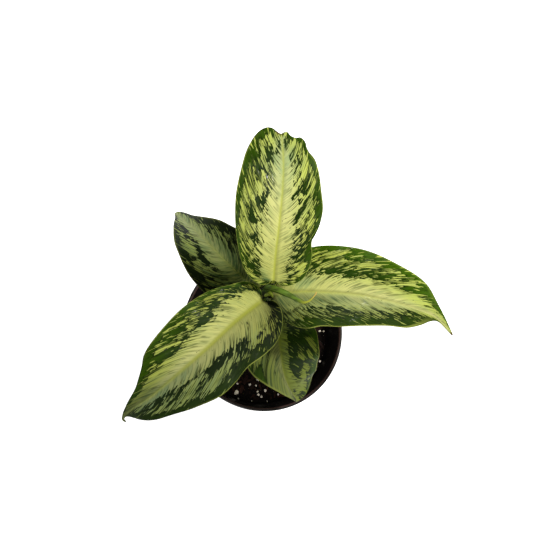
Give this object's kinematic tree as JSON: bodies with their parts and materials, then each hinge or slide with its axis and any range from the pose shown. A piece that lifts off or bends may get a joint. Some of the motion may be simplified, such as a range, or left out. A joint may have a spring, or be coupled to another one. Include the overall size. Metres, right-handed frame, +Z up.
{
  "type": "potted dieffenbachia",
  "caption": "Young foliage plant with broad cream-and-green patterned leaves and one rolled new leaf, in a round black nursery pot of soil.",
  "frame": {"origin": "centre of the pot's flat base, on the surface that the pot stands on", "axes": "+Z up out of the pot; +Y towards the blunt uppermost leaf; +X towards the long leaf with the straight drip tip"},
  "size_m": [0.2149, 0.179, 0.2274],
  "materials": {
    "pot_plastic": "thin moulded black plastic, satin on the rim",
    "potting_soil": "dark peat and bark with white perlite grains",
    "cane": "satin green, ringed with leaf scars",
    "new_leaf": "smooth glossy mid green with a yellow tip",
    "open_leaf": "glossy, cream-green centre streaked into a dark green margin, pale midrib"
  },
  "bodies": {
    "root": {"pot": "pot_plastic", "soil": "potting_soil", "stem": "cane", "rolled_leaf": "new_leaf", "leaf_north": "open_leaf", "leaf_southwest": "open_leaf", "leaf_east": "open_leaf", "leaf_northwest": "open_leaf", "leaf_south": "open_leaf"}
  },
  "joints": []
}
